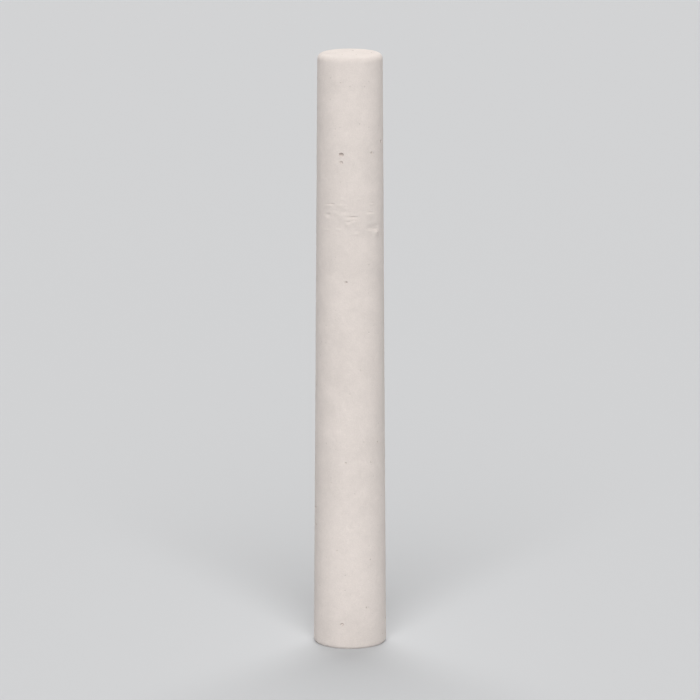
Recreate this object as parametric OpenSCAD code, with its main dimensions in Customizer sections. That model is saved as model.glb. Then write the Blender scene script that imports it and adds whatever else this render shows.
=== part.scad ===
// A moulded stick of white board chalk, standing on its wide end.
// Millimetres. +Z is up, -Y is the front, and the origin is the centre of the wide end's face.

/* [Stick] */
// Length from end face to end face
stick_l = 80; // [60:1:120]
// Diameter of the wide end, where the wall would meet its face
wide_d = 9.7; // [8.5:0.1:14]
// Diameter of the narrow end, where the wall would meet its face
narrow_d = 8.6; // [6:0.1:10]

/* [Rims] */
// Radius of the rim around the wide end, which was struck off flat in the mould
wide_rim_r = 0.4; // [0.1:0.05:1.5]
// Radius of the rim around the narrow end, from the foot of the mould
narrow_rim_r = 0.7; // [0.1:0.05:1.5]

/* [Air bubbles] */
// Width of the largest bubble's mouth
bubble_d = 0.7; // [0.3:0.05:1.2]
// Depth of the largest bubble below the wall
bubble_depth = 0.3; // [0.1:0.05:0.6]

/* [Hidden] */
$fn = 96;

// Lean of the wall, in degrees from the axis: the draft that lets the stick out of its mould
taper = atan((wide_d - narrow_d) / (2 * stick_l));

// Heights of the two rims' centres
wide_rim_z = wide_rim_r;
narrow_rim_z = stick_l - narrow_rim_r;

// Air bubbles left open by the casting:
// [mouth beside the largest, depth beside the largest, height as a share of the length,
// turn from the front in degrees]
BUBBLES = [
    [1.00, 1.00, 0.840, -15],
    [0.71, 0.37, 0.827, -15],
    [0.63, 0.33, 0.841, 40],
];

// Radius of the wall at a height
function wall_r(z) = wide_d / 2 - z * tan(taper);

// Distance from the axis to the centre of a rim that touches the wall from inside
function rim_x(z, rim_r) = wall_r(z) - rim_r / cos(taper);

// Point where that rim meets the wall
function rim_on_wall(z, rim_r) =
    [rim_x(z, rim_r) + rim_r * cos(taper), z + rim_r * sin(taper)];

// Half of the stick's section, with both rims as true arcs
module half_section() {
    polygon([
        [0, 0],
        [rim_x(wide_rim_z, wide_rim_r), 0],
        rim_on_wall(wide_rim_z, wide_rim_r),
        rim_on_wall(narrow_rim_z, narrow_rim_r),
        [rim_x(narrow_rim_z, narrow_rim_r), stick_l],
        [0, stick_l],
    ]);
    translate([rim_x(wide_rim_z, wide_rim_r), wide_rim_z])
        circle(wide_rim_r);
    translate([rim_x(narrow_rim_z, narrow_rim_r), narrow_rim_z])
        circle(narrow_rim_r);
}

// A ball that cuts one open bubble of the given mouth and depth into the wall.
// Its poles point in and out of the stick, so the edge that it cuts stays clear of both.
module bubble(mouth_d, depth, z, turn) {
    ball_r = (pow(mouth_d / 2, 2) + pow(depth, 2)) / (2 * depth);
    rotate([0, 0, turn])
        translate([0, -(wall_r(z) + ball_r - depth), z])
            rotate([90, 0, 0])
                sphere(ball_r);
}

module chalk_stick() {
    color([0.90, 0.87, 0.85])
        difference() {
            rotate_extrude()
                half_section();
            for (b = BUBBLES)
                bubble(b[0] * bubble_d, b[1] * bubble_depth, b[2] * stick_l, b[3]);
        }
}

chalk_stick();
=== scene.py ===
"""A moulded stick of white board chalk, standing on its wide end.

+Z runs up the stick, -Y is its front, and the origin is the middle of the face that it stands on.
Sizes are in metres and angles in degrees, apart from the two tables of marks, which name their
own units. A turn is counted from the front, positive towards +X.
"""

import math
import random
from collections import namedtuple

import bmesh
import bpy
from mathutils import Matrix, Vector


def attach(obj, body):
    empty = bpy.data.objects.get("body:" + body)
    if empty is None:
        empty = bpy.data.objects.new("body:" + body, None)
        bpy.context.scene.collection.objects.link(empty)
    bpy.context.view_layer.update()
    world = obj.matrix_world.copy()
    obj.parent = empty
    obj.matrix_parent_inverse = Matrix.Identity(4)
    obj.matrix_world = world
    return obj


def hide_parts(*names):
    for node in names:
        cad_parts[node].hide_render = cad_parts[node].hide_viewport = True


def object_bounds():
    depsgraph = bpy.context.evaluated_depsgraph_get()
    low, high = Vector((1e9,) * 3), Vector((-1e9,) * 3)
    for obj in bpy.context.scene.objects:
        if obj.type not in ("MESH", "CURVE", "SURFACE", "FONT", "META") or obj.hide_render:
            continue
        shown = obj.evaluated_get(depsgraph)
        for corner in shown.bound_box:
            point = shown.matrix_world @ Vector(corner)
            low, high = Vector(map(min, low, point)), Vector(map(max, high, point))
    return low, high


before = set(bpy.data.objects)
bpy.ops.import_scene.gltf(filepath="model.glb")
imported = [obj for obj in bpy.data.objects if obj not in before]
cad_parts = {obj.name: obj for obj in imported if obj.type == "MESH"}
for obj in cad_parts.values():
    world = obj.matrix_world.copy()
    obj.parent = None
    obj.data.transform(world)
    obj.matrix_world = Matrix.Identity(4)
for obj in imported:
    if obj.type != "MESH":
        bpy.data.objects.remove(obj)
CAD_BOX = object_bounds()

MM = 0.001


# ---------------------------------------------------------------- sizes, from the frame


def widest_point(low, high):
    """(radius, height) of the widest CAD vertex between two heights."""
    points = (v.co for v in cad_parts["chalk_stick"].data.vertices)
    return max((math.hypot(p.x, p.y), p.z) for p in points if low <= p.z <= high)


STICK_L = CAD_BOX[1].z
# A vertex this near the height of an end face lies in that face
TOUCH = 0.001 * MM
LOW_WALL_R, LOW_WALL_Z = widest_point(0, STICK_L)
HIGH_WALL_R, HIGH_WALL_Z = widest_point(0.95 * STICK_L, STICK_L)
WIDE_FLAT_R, _ = widest_point(-TOUCH, TOUCH)
NARROW_FLAT_R, _ = widest_point(STICK_L - TOUCH, STICK_L + TOUCH)

# How much the wall closes for each metre up, and the radii that its line reaches at both ends
DRAFT = (LOW_WALL_R - HIGH_WALL_R) / (HIGH_WALL_Z - LOW_WALL_Z)
WIDE_R = LOW_WALL_R + DRAFT * LOW_WALL_Z
NARROW_R = WIDE_R - DRAFT * STICK_L

# Each rim is an arc between the flat face and the leaning wall
WIDE_RIM_R = (WIDE_R - WIDE_FLAT_R) / (1 + DRAFT)
NARROW_RIM_R = (NARROW_R - NARROW_FLAT_R) / (1 - DRAFT)


def wall_r(z):
    """Radius of the wall at a height."""
    return WIDE_R - DRAFT * z


def on_wall(z, turn):
    """Point of the wall at a height and a turn."""
    a = math.radians(turn)
    return Vector((wall_r(z) * math.sin(a), -wall_r(z) * math.cos(a), z))


def turn_of(p):
    """Turn of a point."""
    return math.degrees(math.atan2(p.x, -p.y))


# ---------------------------------------------------------------- modelling by operators


def only(piece):
    """Makes this piece the one that is selected and active."""
    bpy.ops.object.select_all(action="DESELECT")
    piece.select_set(True)
    bpy.context.view_layer.objects.active = piece


def edit(piece):
    """Enters edit mode on this piece alone."""
    only(piece)
    bpy.ops.object.mode_set(mode="EDIT")


def done():
    """Leaves edit mode."""
    bpy.ops.object.mode_set(mode="OBJECT")


def pick(piece, kind, test):
    """In edit mode, selects just the vertices, edges or faces that pass the test."""
    bpy.ops.mesh.select_mode(type=kind)
    bpy.ops.mesh.select_all(action="DESELECT")
    mesh = bmesh.from_edit_mesh(piece.data)
    for part in {"VERT": mesh.verts, "EDGE": mesh.edges, "FACE": mesh.faces}[kind]:
        if test(part):
            part.select_set(True)
    bmesh.update_edit_mesh(piece.data)


def middle(edge):
    """Middle point of an edge."""
    return (edge.verts[0].co + edge.verts[1].co) / 2


def rises(edge):
    """How far an edge climbs."""
    return abs(edge.verts[0].co.z - edge.verts[1].co.z)


def apply_all(piece):
    """Applies every modifier, in order."""
    only(piece)
    for modifier in list(piece.modifiers):
        bpy.ops.object.modifier_apply(modifier=modifier.name)


# ---------------------------------------------------------------- the cast bar

COLUMNS = 144
WIDE_RIM_SEGMENTS = 4
NARROW_RIM_SEGMENTS = 6
# The wall is cut into bands, and each band into rows about 0.2 mm high
BANDS = 20
ROWS = 18
# Where the ripples lie, the rows are about 0.04 mm high
RIPPLE_LOW, RIPPLE_HIGH = 0.69 * STICK_L, 0.79 * STICK_L
FINE_ROWS = 96
END_STEP = 0.25 * MM
# The rings of an end face stop at this radius and close on one point
END_EYE_R = 0.15 * MM
# What lies this near the height of an end face belongs to it
FLAT = 0.01 * MM
# An edge that climbs more than this is wall that is still to be cut
UNCUT = 2 * MM


def close_end(piece, z, flat_r):
    """Fills an end face with rings of quads that close on its middle."""
    pick(piece, "FACE", lambda f: len(f.verts) > 4 and abs(f.calc_center_median().z - z) < FLAT)
    for _ in range(int((flat_r - END_EYE_R) / END_STEP)):
        bpy.ops.mesh.inset(thickness=END_STEP, depth=0)
    bpy.ops.mesh.merge(type="CENTER")


def round_rim(piece, z, radius, segments):
    """Rounds the edge around an end face."""
    pick(piece, "EDGE", lambda e: rises(e) < FLAT and abs(middle(e).z - z) < FLAT)
    bpy.ops.mesh.bevel(
        offset_type="OFFSET", offset=radius, segments=segments, profile=0.5, affect="EDGES"
    )


def cut_rows(piece, low, high, rows):
    """Cuts the bands between two heights into rows."""
    pick(piece, "EDGE", lambda e: rises(e) > UNCUT and low <= middle(e).z < high)
    bpy.ops.mesh.subdivide(number_cuts=rows - 1)


def cast_bar():
    """The plain bar: a tapered round with both rims, cut fine enough everywhere to be carved."""
    bpy.ops.mesh.primitive_cylinder_add(
        vertices=COLUMNS,
        radius=WIDE_R,
        depth=STICK_L,
        end_fill_type="NGON",
        location=(0, 0, STICK_L / 2),
    )
    bar = bpy.context.object
    bar.name = "cast_chalk_stick"
    bpy.ops.object.transform_apply(location=True)
    edit(bar)
    pick(bar, "VERT", lambda v: v.co.z > STICK_L / 2)
    narrow = NARROW_R / WIDE_R
    bpy.ops.transform.resize(value=(narrow, narrow, 1), center_override=(0, 0, STICK_L))
    round_rim(bar, 0, WIDE_RIM_R, WIDE_RIM_SEGMENTS)
    round_rim(bar, STICK_L, NARROW_RIM_R, NARROW_RIM_SEGMENTS)
    cut_rows(bar, 0, STICK_L, BANDS)
    cut_rows(bar, RIPPLE_LOW, RIPPLE_HIGH, FINE_ROWS)
    cut_rows(bar, 0, STICK_L, ROWS)
    close_end(bar, 0, WIDE_FLAT_R)
    close_end(bar, STICK_L, NARROW_FLAT_R)
    done()
    return bar


# ---------------------------------------------------------------- marks of the casting

# Fine ripples where the wet chalk set against the mould. Down the wall, each is an eased slope
# into a sunk line, a straight step out from it, and a lip that fades. Turns are in degrees and
# the rest is in mm; the climb is over half of its length, towards +X.
Ripple = namedtuple("Ripple", "height turn half_turn climb reach step fade sink lip")
RIPPLES = [
    # the long one in the middle, its lip to the left, and the two short ones under it
    Ripple(58.82, 6.0, 9.0, -0.02, 0.24, 0.28, 0.45, 0.155, 0.010),
    Ripple(58.87, -4.0, 7.0, 0.00, 0.20, 0.42, 1.30, 0.010, 0.090),
    Ripple(58.23, -3.2, 4.4, 0.00, 0.22, 0.36, 1.20, 0.100, 0.140),
    Ripple(58.43, 6.8, 5.4, 0.00, 0.11, 0.24, 0.90, 0.070, 0.100),
    # the ones on the left
    Ripple(60.44, -39.5, 9.0, 0.08, 0.15, 0.20, 0.70, 0.030, 0.070),
    Ripple(60.51, -33.0, 6.5, 0.03, 0.15, 0.16, 0.30, 0.100, 0.010),
    Ripple(58.96, -40.5, 6.5, 0.11, 0.40, 0.42, 0.50, 0.140, 0.025),
    Ripple(59.66, -25.0, 6.0, -0.02, 0.25, 0.35, 0.60, 0.030, 0.045),
    Ripple(59.52, -11.0, 8.5, 0.22, 0.30, 0.42, 1.40, 0.025, 0.120),
    # the ones on the right
    Ripple(59.31, 37.5, 9.5, -0.09, 0.20, 0.18, 0.80, 0.045, 0.100),
    Ripple(57.20, 38.5, 9.5, -0.03, 0.80, 0.34, 0.50, 0.150, 0.035),
    Ripple(57.32, 49.5, 8.0, -0.05, 0.60, 0.38, 0.25, 0.115, 0.000),
    Ripple(56.97, 49.0, 8.0, -0.05, 0.35, 0.40, 1.10, 0.150, 0.160),
    # the faintest
    Ripple(60.66, -14.0, 9.0, 0.04, 0.15, 0.30, 0.40, 0.010, 0.045),
    Ripple(60.22, -8.5, 5.0, 0.02, 0.15, 0.20, 0.40, 0.010, 0.060),
    Ripple(61.50, -12.0, 6.0, 0.10, 0.15, 0.25, 0.40, 0.010, 0.060),
    Ripple(61.48, 16.0, 4.0, 0.00, 0.15, 0.20, 0.30, 0.010, 0.050),
    Ripple(60.60, 41.0, 6.0, -0.03, 0.12, 0.18, 0.40, 0.020, 0.060),
    Ripple(57.13, -42.0, 9.0, 0.08, 0.12, 0.15, 0.40, 0.010, 0.040),
    Ripple(57.42, -20.0, 5.0, 0.03, 0.20, 0.28, 0.40, 0.020, 0.070),
    Ripple(56.93, 10.0, 6.0, 0.00, 0.40, 0.32, 0.40, 0.040, 0.060),
]
# The depth and the height in mm that a full weight stands for
DEEPEST_SINK = 0.25
HIGHEST_LIP = 0.25
OTHER_RIPPLES = 14
RIPPLE_SEED = 11
# Where the back begins and ends, as turns
BACK = 108, 252
# A weight below this moves the surface by less than can be seen
FAINTEST_WEIGHT = 0.002


def other_ripples(draw):
    """Fainter ripples for the back, at the same level of the mould: both sides stay straight."""
    for _ in range(OTHER_RIPPLES):
        strength = draw.uniform(0.01, 0.05)
        yield Ripple(
            height=draw.uniform(56.5, 62.0),
            turn=draw.uniform(*BACK),
            half_turn=draw.uniform(4, 12),
            climb=draw.uniform(-0.12, 0.12),
            reach=draw.uniform(0.15, 0.60),
            step=draw.uniform(0.18, 0.40),
            fade=draw.uniform(0.25, 0.60),
            sink=strength,
            lip=strength * draw.uniform(0.4, 1.0),
        )


def along_ripple(p, ripple):
    """(how near its middle, how many mm above its line) a point is on a ripple, or None."""
    u = ((turn_of(p) - ripple.turn + 180) % 360 - 180) / ripple.half_turn
    return None if abs(u) >= 1 else (1 - u * u, p.z / MM - ripple.height - ripple.climb * u)


def eased(x):
    """Falls smoothly from 1 at 0 to 0 at 1 and beyond."""
    return (1 + math.cos(math.pi * min(1, x))) / 2


def sunk_line(above, ripple):
    """Depth across a ripple's line, in mm."""
    if above > 0:
        return ripple.sink * eased(above / ripple.reach)
    return ripple.sink * max(0, 1 + above / ripple.step)


def fading_lip(above, ripple):
    """Height across a ripple's lip, in mm: its crest is a step below the line."""
    over = above + ripple.step
    if over > 0:
        return ripple.lip * max(0, 1 - over / ripple.step)
    return ripple.lip * eased(-over / ripple.fade)


def ripple_weight(ripples, across, full):
    """Weight of all the ripples' lines, or of all their lips, as a share of the full one."""

    def weight_at(p):
        if not RIPPLE_LOW < p.z < RIPPLE_HIGH:
            return 0
        total = 0
        for ripple in ripples:
            where = along_ripple(p, ripple)
            if where:
                near, above = where
                total += near * across(above, ripple)
        return min(1, total / full)

    return weight_at


def paint(piece, name, weight_at):
    """Makes a vertex group from the weight at each point, and returns its name."""
    group = piece.vertex_groups.new(name=name)
    for v in piece.data.vertices:
        weight = weight_at(v.co)
        if weight > FAINTEST_WEIGHT:
            group.add([v.index], weight, "REPLACE")
    return group.name


def push(piece, name, height, group):
    """Moves the surface out by a height where a vertex group says."""
    modifier = piece.modifiers.new(name, "DISPLACE")
    modifier.strength = height
    modifier.mid_level = 0
    modifier.vertex_group = group


def roughen(piece, name, size, depth, height, group):
    """Moves the surface in and out by clouds: how large, how detailed, and how high in all."""
    texture = bpy.data.textures.new(name, "CLOUDS")
    texture.noise_scale = size
    texture.noise_depth = depth
    modifier = piece.modifiers.new(name, "DISPLACE")
    modifier.texture = texture
    modifier.texture_coords = "LOCAL"
    modifier.strength = height
    modifier.mid_level = 0.5
    modifier.vertex_group = group


def clear_of_foot(p):
    """Weight that leaves the face on the floor flat and lets go above its rim."""
    return min(1, max(0, p.z) / WIDE_RIM_R)


def near_rims(p):
    """Weight of the two rims, where the edge is least even."""
    foot = max(0, 1 - abs(p.z - 0.5 * WIDE_RIM_R) / WIDE_RIM_R) * clear_of_foot(p)
    top = max(0, 1 - (STICK_L - p.z) / (2 * NARROW_RIM_R))
    inside_top_rim = math.hypot(p.x, p.y) <= 0.6 * NARROW_R
    return foot if inside_top_rim else max(foot, top)


def carve(piece):
    """Takes the plain bar to the cast one: uneven skin, worn rims and ripples."""
    ripples = RIPPLES + list(other_ripples(random.Random(RIPPLE_SEED)))
    skin = paint(piece, "skin", clear_of_foot)
    rims = paint(piece, "rims", near_rims)
    lines = paint(piece, "lines", ripple_weight(ripples, sunk_line, DEEPEST_SINK))
    lips = paint(piece, "lips", ripple_weight(ripples, fading_lip, HIGHEST_LIP))
    push(piece, "sink lines", -DEEPEST_SINK * MM, lines)
    push(piece, "raise lips", HIGHEST_LIP * MM, lips)
    roughen(piece, "uneven skin", size=5 * MM, depth=1, height=0.036 * MM, group=skin)
    roughen(piece, "rippled skin", size=1.3 * MM, depth=2, height=0.014 * MM, group=skin)
    roughen(piece, "worn rims", size=0.7 * MM, depth=2, height=0.060 * MM, group=rims)
    apply_all(piece)
    piece.vertex_groups.clear()


# ---------------------------------------------------------------- open air bubbles

# The ones on the front: (height in mm, turn, width in mm, height beside width, depth in mm,
# spin of the uneven ball that cuts it, in radians)
FRONT_BUBBLES = [
    (67.2, -15, 0.70, 0.75, 0.30, 3.85),
    (66.16, -15, 0.50, 0.95, 0.11, 3.85),
    (67.28, 40, 0.44, 0.80, 0.10, 2.30),
]
OTHER_BUBBLES = 64
END_BUBBLES = 5
BUBBLE_SEED = 5
# Heights in mm between which the finer ones lie, and how far apart they keep
BUBBLES_LOW, BUBBLES_HIGH = 1.2, 78.6
BUBBLES_APART = 1.2 * MM
# The part of the front that is left to the bubbles above
FRONT_LOW, FRONT_HIGH, FRONT_TURN = 55.5 * MM, 69.5 * MM, 55


def lumpy_ball():
    """The ball that every bubble is cut with: a metre in radius and a little uneven."""
    bpy.ops.mesh.primitive_ico_sphere_add(subdivisions=3, radius=1)
    ball = bpy.context.object
    ball.name = "bubble"
    everywhere = paint(ball, "everywhere", lambda p: 1)
    roughen(ball, "lumps", size=0.9, depth=1, height=0.35, group=everywhere)
    apply_all(ball)
    ball.vertex_groups.clear()
    return ball


def bubble(model, point, outward, width, tallness, depth, spin):
    """A copy of the ball, placed so that it cuts a mouth of this width and depth."""
    half = width / 2
    ball_r = (half**2 + depth**2) / (2 * depth)
    ball = model.copy()
    ball.data = model.data.copy()
    bpy.context.collection.objects.link(ball)
    ball.data.transform(
        Matrix.Translation(point + outward * (ball_r - depth))
        @ outward.to_track_quat("Z", "Y").to_matrix().to_4x4()
        @ Matrix.Diagonal((ball_r, ball_r * tallness, ball_r, 1))
        @ Matrix.Rotation(spin, 4, "Z")
    )
    return ball


def wall_out(turn):
    """Direction straight out of the wall."""
    a = math.radians(turn)
    return Vector((math.sin(a), -math.cos(a), 0))


def other_bubbles(draw):
    """Where the finer bubbles lie: (point, direction out, width, tallness, depth)."""
    taken = []
    while len(taken) < OTHER_BUBBLES:
        z = draw.uniform(BUBBLES_LOW, BUBBLES_HIGH) * MM
        turn = draw.uniform(-180, 180)
        # Most are small, because the cube of a share is small
        width = (0.14 + 0.34 * draw.random() ** 3) * MM
        tallness = draw.uniform(0.7, 1.0)
        depth = draw.uniform(0.25, 0.45) * width
        point = on_wall(z, turn)
        on_front = FRONT_LOW < z < FRONT_HIGH and abs(turn) < FRONT_TURN
        if on_front or any((point - p).length < BUBBLES_APART for p in taken):
            continue
        taken.append(point)
        yield point, wall_out(turn), width, tallness, depth
    for z, flat_r, outward in ((0, WIDE_FLAT_R, -1), (STICK_L, NARROW_FLAT_R, 1)):
        for i in range(END_BUBBLES):
            a = 2 * math.pi * (i + draw.uniform(0.1, 0.9)) / END_BUBBLES
            r = draw.uniform(0.25, 0.85) * flat_r
            point = Vector((r * math.cos(a), r * math.sin(a), z))
            width = draw.uniform(0.15, 0.36) * MM
            yield point, Vector((0, 0, outward)), width, 0.9, 0.35 * width


def open_bubbles(piece, lining):
    """Cuts the open air bubbles, whose inside takes the lining material: darker than the skin, as
    painted shade in the hollows.
    """
    draw = random.Random(BUBBLE_SEED)
    model = lumpy_ball()
    model.data.materials.append(lining)
    balls = []
    for height, turn, width, tallness, depth, spin in FRONT_BUBBLES:
        point = on_wall(height * MM, turn)
        balls.append(
            bubble(model, point, wall_out(turn), width * MM, tallness, depth * MM, spin)
        )
    for point, outward, width, tallness, depth in other_bubbles(draw):
        spin = draw.uniform(0, 2 * math.pi)
        balls.append(bubble(model, point, outward, width, tallness, depth, spin))
    only(balls[0])
    for ball in balls:
        ball.select_set(True)
    bpy.ops.object.join()
    cutter = bpy.context.object
    cut = piece.modifiers.new("open bubbles", "BOOLEAN")
    cut.operation = "DIFFERENCE"
    cut.solver = "EXACT"
    cut.material_mode = "TRANSFER"
    cut.object = cutter
    apply_all(piece)
    bpy.data.objects.remove(cutter)
    bpy.data.objects.remove(model)


# ---------------------------------------------------------------- materials

# Places of the colour sockets on a mix node
MIX_SHARE, MIX_A, MIX_B, MIX_RESULT = 0, 6, 7, 2
# Clouds to the metre in each pattern of the chalk, and cells to the metre in its pin holes
DRIFT, CLOUDS, DUST, COARSE_GRAIN, GRAIN, POWDER = 90, 420, 800, 1500, 6000, 17000
PIN_HOLES, FINE_PIN_HOLES = 1600, 5200


def add(tree, kind, **settings):
    """Adds a node and sets its own properties."""
    made = tree.nodes.new(kind)
    for name, value in settings.items():
        setattr(made, name, value)
    return made


def put(made, **values):
    """Sets a node's inputs, each by its name with spaces as underscores."""
    for name, value in values.items():
        made.inputs[name.replace("_", " ")].default_value = value
    return made


def noise(tree, place, scale, detail, roughness=0.5):
    """A noise pattern whose scale is its number of clouds to the metre."""
    made = put(add(tree, "ShaderNodeTexNoise"), Scale=scale, Detail=detail, Roughness=roughness)
    tree.links.new(place, made.inputs["Vector"])
    return made.outputs["Fac"]


def spread(tree, value, low, high, to_low=0.0, to_high=1.0):
    """Stretches a value from one range to another, and clamps it."""
    made = add(tree, "ShaderNodeMapRange")
    put(made, From_Min=low, From_Max=high, To_Min=to_low, To_Max=to_high)
    tree.links.new(value, made.inputs["Value"])
    return made.outputs["Result"]


def maths(tree, operation, a, b):
    """A maths node on two values, each a socket or a number."""
    made = add(tree, "ShaderNodeMath", operation=operation)
    for socket, value in zip(made.inputs, (a, b)):
        if isinstance(value, (int, float)):
            socket.default_value = value
        else:
            tree.links.new(value, socket)
    return made.outputs[0]


def pin_holes(tree, place, scale, widest):
    """Round holes of mixed sizes, 1 inside and 0 outside: scale is cells to the metre."""
    made = put(add(tree, "ShaderNodeTexVoronoi", feature="F1"), Scale=scale)
    tree.links.new(place, made.inputs["Vector"])
    chance = add(tree, "ShaderNodeSeparateColor")
    tree.links.new(made.outputs["Color"], chance.inputs[0])
    size = maths(tree, "MULTIPLY", maths(tree, "POWER", chance.outputs[0], 4.0), widest)
    inside = maths(tree, "SUBTRACT", made.outputs["Distance"], size)
    return spread(tree, inside, -0.01, 0.02, 1.0, 0.0)


def mix(tree, share, a, b, blend="MIX"):
    """Mixes two colours, each a socket or a colour."""
    made = add(tree, "ShaderNodeMix", data_type="RGBA", blend_type=blend)
    for place, value in ((MIX_SHARE, share), (MIX_A, a), (MIX_B, b)):
        if isinstance(value, bpy.types.NodeSocket):
            tree.links.new(value, made.inputs[place])
        else:
            made.inputs[place].default_value = value
    return made.outputs[MIX_RESULT]


def chalk_body():
    """Group shared by every chalk surface: cloudy tone, fine grain, pin holes darkened with painted
    shade, and powder.
    """
    tree = bpy.data.node_groups.new("chalk body", "ShaderNodeTree")
    sockets = (
        ("Place", "INPUT", "NodeSocketVector"),
        ("Clear tone", "INPUT", "NodeSocketColor"),
        ("Cloudy tone", "INPUT", "NodeSocketColor"),
        ("Grain", "INPUT", "NodeSocketFloat"),
        ("Colour", "OUTPUT", "NodeSocketColor"),
        ("Height", "OUTPUT", "NodeSocketFloat"),
    )
    for name, way, kind in sockets:
        tree.interface.new_socket(name, in_out=way, socket_type=kind)
    given = add(tree, "NodeGroupInput")
    result = add(tree, "NodeGroupOutput")
    place, strength = given.outputs["Place"], given.outputs["Grain"]

    drift = noise(tree, place, DRIFT, 2)
    clouds = noise(tree, place, CLOUDS, 4, 0.55)
    cloudy = spread(tree, maths(tree, "ADD", drift, clouds), 0.80, 1.20)
    tone = mix(tree, cloudy, given.outputs["Clear tone"], given.outputs["Cloudy tone"])

    grain = noise(tree, place, GRAIN, 3, 0.6)
    powder = noise(tree, place, POWDER, 2, 0.6)
    coarse = noise(tree, place, COARSE_GRAIN, 2)
    holes = pin_holes(tree, place, PIN_HOLES, 0.16)
    fine_holes = pin_holes(tree, place, FINE_PIN_HOLES, 0.20)
    dusting = spread(tree, noise(tree, place, DUST, 3, 0.65), 0.56, 0.74)

    # Shade: the three grains vary it at random and the dust lightens it; the holes darken it, as
    # painted shade inside the pores
    shade = spread(tree, grain, 0.25, 0.75, 0.965, 1.03)
    shade = maths(tree, "MULTIPLY", shade, spread(tree, coarse, 0.3, 0.7, 0.985, 1.015))
    shade = maths(tree, "MULTIPLY", shade, spread(tree, powder, 0.3, 0.7, 0.972, 1.028))
    # Painted shade: the pin holes' tone is darkened where their hollows would lie in shadow
    shade = maths(tree, "SUBTRACT", shade, maths(tree, "MULTIPLY", holes, 0.14))
    shade = maths(tree, "SUBTRACT", shade, maths(tree, "MULTIPLY", fine_holes, 0.06))
    shade = maths(tree, "ADD", shade, maths(tree, "MULTIPLY", dusting, 0.03))
    shade = maths(tree, "SUBTRACT", shade, 1.0)
    shade = maths(tree, "ADD", maths(tree, "MULTIPLY", shade, strength), 1.0)
    grey = add(tree, "ShaderNodeCombineColor")
    for socket in grey.inputs:
        tree.links.new(shade, socket)
    colour = mix(tree, 1.0, tone, grey.outputs[0], "MULTIPLY")
    tree.links.new(colour, result.inputs["Colour"])

    # Height: the three grains raise it and the holes sink it
    height = maths(tree, "MULTIPLY", grain, 0.55)
    height = maths(tree, "ADD", height, maths(tree, "MULTIPLY", powder, 0.22))
    height = maths(tree, "ADD", height, maths(tree, "MULTIPLY", coarse, 0.8))
    height = maths(tree, "SUBTRACT", height, holes)
    height = maths(tree, "SUBTRACT", height, maths(tree, "MULTIPLY", fine_holes, 0.5))
    height = maths(tree, "MULTIPLY", height, strength)
    tree.links.new(height, result.inputs["Height"])
    return tree


def chalk_material(name, body, clear, cloudy, grain, relief, roughness):
    """A chalk surface: its two tones, how grainy it is, and how deep its grain is in metres."""
    material = bpy.data.materials.new(name)
    material.use_nodes = True
    tree = material.node_tree
    shader = next(n for n in tree.nodes if n.type == "BSDF_PRINCIPLED")
    put(
        shader,
        Roughness=roughness,
        Diffuse_Roughness=0.2,
        Specular_IOR_Level=0.25,
        Sheen_Weight=0.03,
        Sheen_Roughness=0.6,
        Sheen_Tint=(1.0, 0.96, 0.92, 1),
    )
    where = add(tree, "ShaderNodeTexCoord")
    looks = add(tree, "ShaderNodeGroup", node_tree=body)
    put(looks, Clear_tone=clear, Cloudy_tone=cloudy, Grain=grain)
    tree.links.new(where.outputs["Object"], looks.inputs["Place"])
    tree.links.new(looks.outputs["Colour"], shader.inputs["Base Color"])
    bump = put(add(tree, "ShaderNodeBump"), Strength=1.0, Distance=relief)
    tree.links.new(looks.outputs["Height"], bump.inputs["Height"])
    tree.links.new(bump.outputs["Normal"], shader.inputs["Normal"])
    return material


def dress(piece, skin, struck):
    """Gives the wall and the narrow end the cast skin, and the struck-off wide end its own."""
    piece.data.materials.append(skin)
    piece.data.materials.append(struck)
    edit(piece)
    pick(piece, "FACE", lambda f: f.calc_center_median().z < FLAT)
    piece.active_material_index = 1
    bpy.ops.object.material_slot_assign()
    done()


# ---------------------------------------------------------------- the piece

# Faces that meet at more than this stay sharp, as around a bubble's mouth
SHARP_ANGLE = 35

body_group = chalk_body()
SKIN = chalk_material(
    "cast skin",
    body_group,
    clear=(0.84, 0.780, 0.742, 1),
    cloudy=(0.79, 0.734, 0.698, 1),
    grain=1.0,
    relief=0.022 * MM,
    roughness=0.92,
)
STRUCK = chalk_material(
    "struck face",
    body_group,
    clear=(0.85, 0.790, 0.752, 1),
    cloudy=(0.79, 0.735, 0.700, 1),
    grain=1.6,
    relief=0.022 * MM,
    roughness=0.95,
)
# The lining's tones are darker than the skin's: painted shade inside the bubbles' hollows.
SHADED_LINING = chalk_material(
    "bubble lining in painted shade",
    body_group,
    clear=(0.72, 0.660, 0.625, 1),
    cloudy=(0.67, 0.610, 0.575, 1),
    grain=1.2,
    relief=0.016 * MM,
    roughness=0.95,
)

chalk = cast_bar()
carve(chalk)
dress(chalk, SKIN, STRUCK)
open_bubbles(chalk, SHADED_LINING)
only(chalk)
bpy.ops.object.shade_smooth_by_angle(angle=math.radians(SHARP_ANGLE))

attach(chalk, "root")
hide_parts("chalk_stick")


# ---------------------------------------------------------------- floor, light and camera

CENTRE = (CAD_BOX[0] + CAD_BOX[1]) / 2
# The floor lies just below the foot, so that the two never flicker through each other
FLOOR_Z = -0.01 * MM
FLOOR_REACH = 6.0
# The floor is open under the foot, as far as halfway out to the rim's edge
OPENING_R = WIDE_FLAT_R + 0.5 * WIDE_RIM_R
LAMP_COLOUR = (1.0, 0.985, 0.975)
HEIGHT_SEEN = 1.165 * STICK_L


def aimed(thing, target):
    """Turns a light or a camera to face a point."""
    thing.rotation_euler = (target - thing.location).to_track_quat("-Z", "Y").to_euler()


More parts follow.
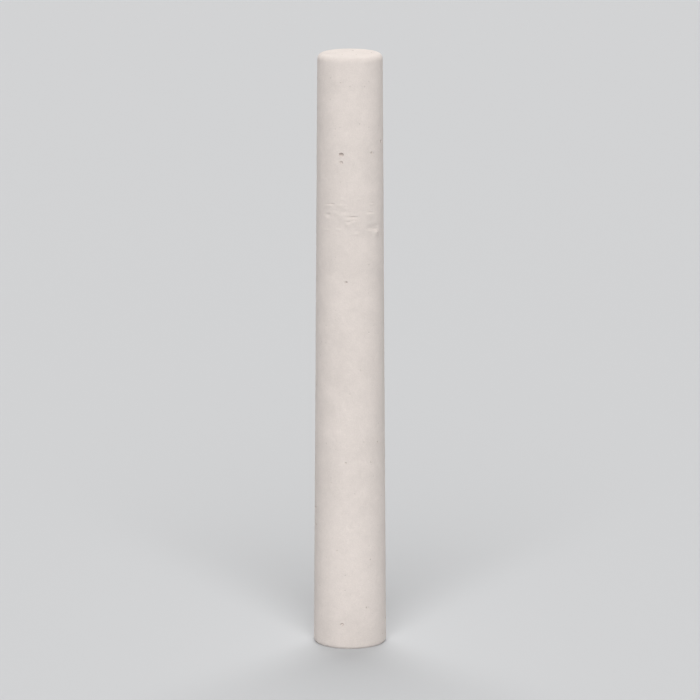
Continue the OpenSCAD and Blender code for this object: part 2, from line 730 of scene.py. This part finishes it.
def floor_material():
    """Plain and pale, and clear from underneath."""
    material = bpy.data.materials.new("pale floor")
    material.use_nodes = True
    tree = material.node_tree
    shader = next(n for n in tree.nodes if n.type == "BSDF_PRINCIPLED")
    result = next(n for n in tree.nodes if n.type == "OUTPUT_MATERIAL")
    put(shader, Base_Color=(0.60, 0.62, 0.64, 1), Roughness=0.8, Specular_IOR_Level=0.2)
    clear = add(tree, "ShaderNodeBsdfTransparent")
    side = add(tree, "ShaderNodeNewGeometry")
    either = add(tree, "ShaderNodeMixShader")
    tree.links.new(side.outputs["Backfacing"], either.inputs[0])
    tree.links.new(shader.outputs[0], either.inputs[1])
    tree.links.new(clear.outputs[0], either.inputs[2])
    tree.links.new(either.outputs[0], result.inputs["Surface"])
    return material


def floor_ring(name, inner, outer, material):
    """A flat ring of floor around the foot."""
    bpy.ops.mesh.primitive_circle_add(
        vertices=COLUMNS, radius=inner, fill_type="NOTHING", location=(0, 0, FLOOR_Z)
    )
    ring = bpy.context.object
    ring.name = name
    edit(ring)
    bpy.ops.mesh.extrude_edges_indiv()
    wider = outer / inner
    bpy.ops.transform.resize(value=(wider, wider, 1), center_override=(0, 0, FLOOR_Z))
    bpy.ops.mesh.select_all(action="SELECT")
    bpy.ops.mesh.normals_make_consistent(inside=False)
    done()
    if ring.data.polygons[0].normal.z < 0:
        ring.data.flip_normals()
    ring.data.materials.append(material)
    return ring


def floor():
    """A plain pale floor that is open below the foot, so that the foot's face is lit from below."""
    material = floor_material()
    floor_ring("floor", OPENING_R, FLOOR_REACH, material)
    edge = floor_ring("floor by the foot", WIDE_FLAT_R, OPENING_R, material)
    # Light passes this ring and reaches the foot's rim, though the ring is seen as floor
    edge.visible_diffuse = False
    edge.visible_glossy = False
    edge.visible_shadow = False


def soft_light(name, azimuth, elevation, width, strength):
    """Broad, even light from far off: where it comes from, how wide it is, and how strong."""
    lamp = bpy.data.lights.new(name, "SUN")
    lamp.angle = math.radians(width)
    lamp.energy = strength
    lamp.color = LAMP_COLOUR
    far = bpy.data.objects.new(name, lamp)
    bpy.context.collection.objects.link(far)
    a, e = math.radians(azimuth), math.radians(elevation)
    far.location = Vector((math.sin(a) * math.cos(e), -math.cos(a) * math.cos(e), math.sin(e)))
    aimed(far, Vector())


def surround(colour, strength, pale):
    """Even light from above, and a pale ground that lights from below and that the camera sees."""
    world = bpy.data.worlds.new("surround")
    world.use_nodes = True
    tree = world.node_tree
    light = next(n for n in tree.nodes if n.type == "BACKGROUND")
    put(light, Color=colour, Strength=strength)
    ground = put(add(tree, "ShaderNodeBackground"), Color=pale, Strength=1.0)
    way = add(tree, "ShaderNodeTexCoord")
    parts = add(tree, "ShaderNodeSeparateXYZ")
    tree.links.new(way.outputs["Generated"], parts.inputs[0])
    below = maths(tree, "LESS_THAN", parts.outputs["Z"], 0.0)
    seen = add(tree, "ShaderNodeLightPath").outputs["Is Camera Ray"]
    either = add(tree, "ShaderNodeMixShader")
    tree.links.new(maths(tree, "MAXIMUM", below, seen), either.inputs[0])
    tree.links.new(light.outputs[0], either.inputs[1])
    tree.links.new(ground.outputs[0], either.inputs[2])
    result = next(n for n in tree.nodes if n.type == "OUTPUT_WORLD")
    tree.links.new(either.outputs[0], result.inputs["Surface"])
    bpy.context.scene.world = world


def camera(azimuth, elevation, distance, height_seen):
    """Looks at the middle of the stick from the front and a little above."""
    a, e = math.radians(azimuth), math.radians(elevation)
    back = Vector((math.sin(a) * math.cos(e), -math.cos(a) * math.cos(e), math.sin(e)))
    data = bpy.data.cameras.new("camera")
    data.sensor_width = 36
    data.lens = data.sensor_width * distance / height_seen
    data.clip_start, data.clip_end = 0.01, 20
    eye = bpy.data.objects.new("camera", data)
    bpy.context.collection.objects.link(eye)
    eye.location = CENTRE + back * distance
    aimed(eye, CENTRE)
    bpy.context.scene.camera = eye


floor()
soft_light("key", azimuth=0, elevation=45, width=42, strength=2.33)
soft_light("back", azimuth=180, elevation=42, width=60, strength=1.76)
surround(colour=(1.0, 0.92, 0.86, 1), strength=0.13, pale=(0.62, 0.63, 0.64, 1))
camera(azimuth=0, elevation=12.5, distance=0.70, height_seen=HEIGHT_SEEN)
bpy.context.scene.view_settings.view_transform = "Standard"
